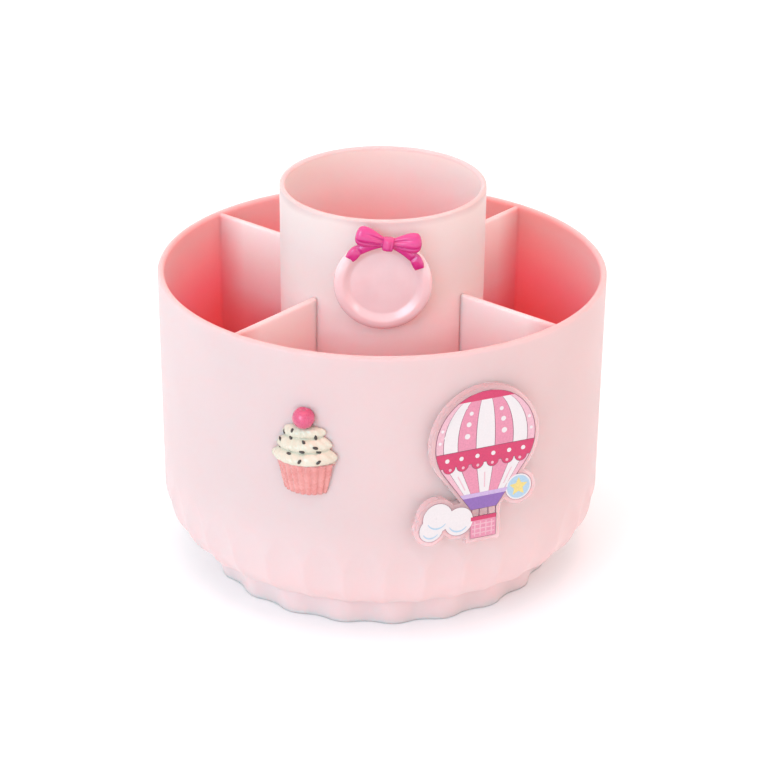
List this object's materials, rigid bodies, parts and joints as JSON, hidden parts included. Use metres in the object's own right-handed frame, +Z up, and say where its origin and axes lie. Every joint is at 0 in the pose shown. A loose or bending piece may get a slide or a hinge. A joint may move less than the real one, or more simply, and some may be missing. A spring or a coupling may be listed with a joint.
{
  "type": "rotating pen holder",
  "caption": "Rotating pen holder: round fluted drum with radial dividers and a taller centre cup, turning on a ball ring over a lobed foot, with glued-on charms.",
  "frame": {"origin": "on the desk surface under the turning axis, at the centre of the soft pad's lower face", "axes": "+Z up along the turning axis, -Y towards the front with the charms, +X to the right seen from the front"},
  "size_m": [0.15, 0.1549, 0.135],
  "materials": {
    "pink_plastic": "satin pale pink polypropylene",
    "pad_foam": "matt pale grey foam",
    "white_acetal": "smooth white acetal",
    "bright_steel": "polished steel balls",
    "zinc_steel": "zinc-plated steel",
    "pink_resin": "glossy pale pink resin",
    "magenta_resin": "glossy magenta resin",
    "cream_resin": "glossy painted cream resin",
    "clear_acrylic": "clear polished acrylic",
    "printed_ink": "printed layer under a clear gloss",
    "clear_glue": "clear set adhesive"
  },
  "bodies": {
    "foot": {"base_foot": "pink_plastic", "anti_slip_pad": "pad_foam", "pivot_bush": "white_acetal"},
    "ball_ring": {"ball_cage": "white_acetal", "bearing_balls": "bright_steel"},
    "turning_drum": {"drum": "pink_plastic", "centre_cup": "pink_plastic", "cup_screws": "zinc_steel", "pivot_washer": "zinc_steel", "pivot_screw": "zinc_steel", "dish_charm": "pink_resin", "bow_charm": "magenta_resin", "cupcake_charm": "cream_resin", "acrylic_plaque": "clear_acrylic", "plaque_print": "printed_ink", "bow_glue": "clear_glue", "dish_glue": "clear_glue", "cupcake_glue": "clear_glue", "plaque_glue": "clear_glue"}
  },
  "joints": [
    {"name": "drum_spin", "type": "hinge", "parent": "foot", "child": "turning_drum", "pos_m": [0, 0, 0.01], "axis": [0, 0, 1], "continuous": true},
    {"name": "ball_ring_spin", "type": "hinge", "parent": "foot", "child": "ball_ring", "pos_m": [0, 0, 0.0078], "axis": [0, 0, 1], "continuous": true}
  ],
  "couplings": [
    {"joint": "ball_ring_spin", "follows": "drum_spin", "ratio": 0.5}
  ]
}
